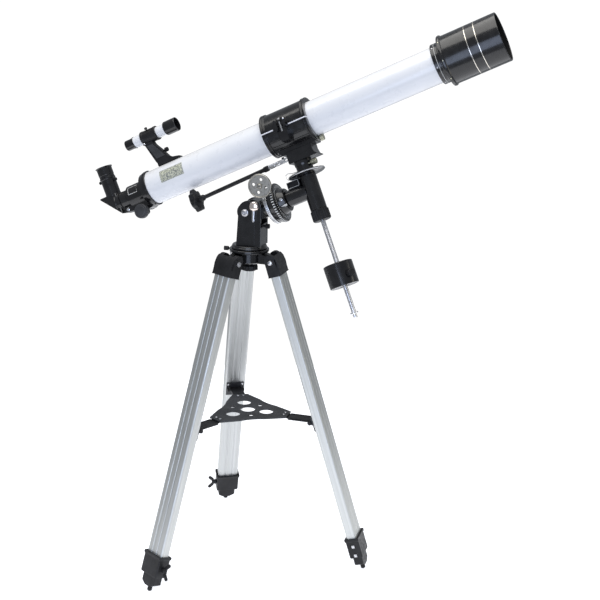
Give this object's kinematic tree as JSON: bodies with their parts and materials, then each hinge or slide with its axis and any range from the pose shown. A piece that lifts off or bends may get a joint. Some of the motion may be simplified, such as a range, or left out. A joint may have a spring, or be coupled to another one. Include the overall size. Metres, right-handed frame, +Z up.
{
  "type": "telescope",
  "caption": "Small refractor telescope with finder and star diagonal, on an equatorial mount with a counterweight and an extending aluminium tripod with an accessory tray.",
  "frame": {"origin": "centre of the bounding box's base, on the floor the feet stand on", "axes": "+Z up; the polar axis and the tube point towards +X and upwards; +Y completes the right-handed set"},
  "size_m": [0.9414, 0.533, 1.2703],
  "materials": {
    "black_enamel": "gloss enamel on cast metal",
    "black_plastic": "satin moulded plastic",
    "white_enamel": "gloss enamel on aluminium tube",
    "anodised_aluminium": "satin natural anodised",
    "chrome": "bright plate",
    "coated_glass": "clear coated objective"
  },
  "bodies": {
    "tripod": {"tripod_hub": "black_enamel", "tray_plate": "black_plastic", "leg_bracket_1": "black_plastic", "leg_pivot_1": "chrome", "leg_outer_1": "anodised_aluminium", "leg_clamp_1": "black_plastic", "tray_arm_1": "black_plastic", "leg_bracket_2": "black_plastic", "leg_pivot_2": "chrome", "leg_outer_2": "anodised_aluminium", "leg_clamp_2": "black_plastic", "tray_arm_2": "black_plastic", "leg_bracket_3": "black_plastic", "leg_pivot_3": "chrome", "leg_outer_3": "anodised_aluminium", "leg_clamp_3": "black_plastic", "tray_arm_3": "black_plastic"},
    "azimuth_head": {"yoke": "black_enamel", "latitude_bolt": "chrome"},
    "polar_head": {"polar_block": "black_enamel", "worm_wheel": "chrome"},
    "hour_head": {"declination_housing": "black_enamel", "hour_circle": "black_enamel", "declination_circle": "black_enamel", "counterweight_shaft": "chrome"},
    "telescope": {"saddle": "black_enamel", "cradle_lower": "black_enamel", "main_tube": "white_enamel", "objective_cell": "black_enamel", "objective_lens": "coated_glass", "dew_shield": "black_enamel", "focuser_body": "black_enamel", "finder_bracket": "black_plastic", "finder_tube": "white_enamel"},
    "focuser_drawtube": {"drawtube": "chrome"},
    "star_diagonal": {"diagonal": "black_plastic", "eyepiece": "black_plastic"},
    "cradle_upper": {"cradle_upper": "black_enamel"},
    "cradle_knob": {"cradle_knob": "chrome"},
    "declination_control": {"declination_control": "black_plastic"},
    "declination_lock_knob": {"declination_lock_knob": "chrome"},
    "saddle_screw": {"saddle_screw": "chrome"},
    "focus_knobs": {"focus_knobs": "black_plastic"},
    "finder_screw": {"finder_screw": "black_plastic"},
    "counterweight": {"counterweight": "black_enamel"},
    "counterweight_knob": {"counterweight_knob": "black_plastic"},
    "polar_handwheel": {"polar_handwheel": "chrome"},
    "hour_lock_screw": {"hour_lock_screw": "chrome"},
    "latitude_lever": {"latitude_lever": "chrome"},
    "latitude_screw": {"latitude_screw": "black_plastic"},
    "azimuth_lock_knob": {"azimuth_lock_knob": "black_plastic"},
    "centre_bolt": {"centre_bolt": "black_plastic"},
    "leg_inner_1": {"leg_inner_1": "anodised_aluminium"},
    "leg_inner_2": {"leg_inner_2": "anodised_aluminium"},
    "leg_inner_3": {"leg_inner_3": "anodised_aluminium"},
    "leg_wing_screw_1": {"leg_wing_screw_1": "black_plastic"},
    "leg_wing_screw_2": {"leg_wing_screw_2": "black_plastic"},
    "leg_wing_screw_3": {"leg_wing_screw_3": "black_plastic"}
  },
  "joints": [
    {"name": "azimuth_turn", "type": "hinge", "parent": "tripod", "child": "azimuth_head", "pos_m": [-0.0784, 0, 0.75], "axis": [0, 0, 1], "continuous": true},
    {"name": "latitude_tilt", "type": "hinge", "parent": "azimuth_head", "child": "polar_head", "pos_m": [-0.0804, 0, 0.8321], "axis": [0, -1, 0], "range_deg": [-15, 30]},
    {"name": "hour_turn", "type": "hinge", "parent": "polar_head", "child": "hour_head", "pos_m": [0.06433, 0, 0.88903], "axis": [0.9051, 0, 0.4251], "range_deg": [-95, 15]},
    {"name": "polar_handwheel_turn", "type": "hinge", "parent": "polar_head", "child": "polar_handwheel", "pos_m": [-0.04024, 0, 0.89714], "axis": [0, 1, 0], "range_deg": [-9500, 1500]},
    {"name": "declination_turn", "type": "hinge", "parent": "hour_head", "child": "telescope", "pos_m": [0.06433, 0, 0.88903], "axis": [-0.4144, 0.2239, 0.8821], "continuous": true},
    {"name": "declination_control_turn", "type": "hinge", "parent": "telescope", "child": "declination_control", "pos_m": [0.02985, 0.00427, 0.96244], "axis": [0.894, 0.0059, 0.4481], "continuous": true},
    {"name": "counterweight_slide", "type": "slide", "parent": "hour_head", "child": "counterweight", "axis": [-0.4144, 0.2239, 0.8821], "range_m": [-0.058, 0.095]},
    {"name": "counterweight_knob_turn", "type": "hinge", "parent": "counterweight", "child": "counterweight_knob", "pos_m": [0.1472, -0.04479, 0.7126], "axis": [0.6322, -0.6265, 0.456], "continuous": true},
    {"name": "cradle_open", "type": "hinge", "parent": "telescope", "child": "cradle_upper", "pos_m": [0.01012, 0.08368, 1.00443], "axis": [-0.9051, 0, -0.4251], "range_deg": [0, 95]},
    {"name": "cradle_knob_turn", "type": "hinge", "parent": "cradle_upper", "child": "cradle_knob", "pos_m": [-0.00618, -0.01953, 1.03091], "axis": [-0.4144, 0.2239, 0.8821], "continuous": true},
    {"name": "declination_lock_turn", "type": "hinge", "parent": "telescope", "child": "declination_lock_knob", "pos_m": [0.0589, 0.00246, 0.94764], "axis": [0.9051, 0, 0.4251], "continuous": true},
    {"name": "saddle_screw_turn", "type": "hinge", "parent": "telescope", "child": "saddle_screw", "pos_m": [0.06918, 0.02183, 0.9963], "axis": [0.9051, 0, 0.4251], "continuous": true},
    {"name": "focus_slide", "type": "slide", "parent": "telescope", "child": "focuser_drawtube", "axis": [-0.9051, 0, -0.4251], "range_m": [0, 0.08]},
    {"name": "focus_knobs_turn", "type": "hinge", "parent": "telescope", "child": "focus_knobs", "pos_m": [-0.32981, 0.0215, 0.80727], "axis": [0.0952, 0.9746, -0.2027], "range_deg": [0, 800]},
    {"name": "diagonal_turn", "type": "hinge", "parent": "focuser_drawtube", "child": "star_diagonal", "pos_m": [-0.41128, 0.03202, 0.81961], "axis": [0.9051, 0, 0.4251], "continuous": true},
    {"name": "finder_screw_turn", "type": "hinge", "parent": "telescope", "child": "finder_screw", "pos_m": [-0.29547, 0.0477, 0.94938], "axis": [0.9051, 0, 0.4251], "continuous": true},
    {"name": "hour_lock_turn", "type": "hinge", "parent": "hour_head", "child": "hour_lock_screw", "pos_m": [0.00595, 0, 0.86161], "axis": [0.0952, 0.9746, -0.2027], "continuous": true},
    {"name": "latitude_lever_turn", "type": "hinge", "parent": "azimuth_head", "child": "latitude_lever", "pos_m": [-0.0579, 0, 0.8488], "axis": [0, -1, 0], "range_deg": [-20, 45]},
    {"name": "latitude_screw_turn", "type": "hinge", "parent": "azimuth_head", "child": "latitude_screw", "pos_m": [-0.0784, 0, 0.8001], "axis": [1, 0, 0], "continuous": true},
    {"name": "azimuth_lock_turn", "type": "hinge", "parent": "tripod", "child": "azimuth_lock_knob", "pos_m": [-0.0784, 0, 0.7444], "axis": [-0.9903, -0.1392, 0], "continuous": true},
    {"name": "centre_bolt_turn", "type": "hinge", "parent": "tripod", "child": "centre_bolt", "pos_m": [-0.0784, 0, 0.7001], "axis": [0, 0, 1], "continuous": true},
    {"name": "leg_1_extend", "type": "slide", "parent": "tripod", "child": "leg_inner_1", "axis": [0.3032, 0, -0.9529], "range_m": [0, 0.38]},
    {"name": "leg_1_wing_screw_turn", "type": "hinge", "parent": "tripod", "child": "leg_wing_screw_1", "pos_m": [0.19361, 0, 0.05728], "axis": [0, 1, 0], "continuous": true},
    {"name": "leg_2_extend", "type": "slide", "parent": "tripod", "child": "leg_inner_2", "axis": [-0.1516, 0.2626, -0.9529], "range_m": [0, 0.38]},
    {"name": "leg_2_wing_screw_turn", "type": "hinge", "parent": "tripod", "child": "leg_wing_screw_2", "pos_m": [-0.2144, 0.23557, 0.05728], "axis": [-0.866, -0.5, 0], "continuous": true},
    {"name": "leg_3_extend", "type": "slide", "parent": "tripod", "child": "leg_inner_3", "axis": [-0.1516, -0.2626, -0.9529], "range_m": [0, 0.38]},
    {"name": "leg_3_wing_screw_turn", "type": "hinge", "parent": "tripod", "child": "leg_wing_screw_3", "pos_m": [-0.2144, -0.23557, 0.05728], "axis": [0.866, -0.5, 0], "continuous": true}
  ],
  "couplings": [
    {"joint": "polar_handwheel_turn", "follows": "hour_turn", "ratio": 100},
    {"joint": "declination_control_turn", "follows": "declination_turn", "ratio": 100},
    {"joint": "focus_knobs_turn", "follows": "focus_slide", "rad_per_m": 166.67}
  ]
}
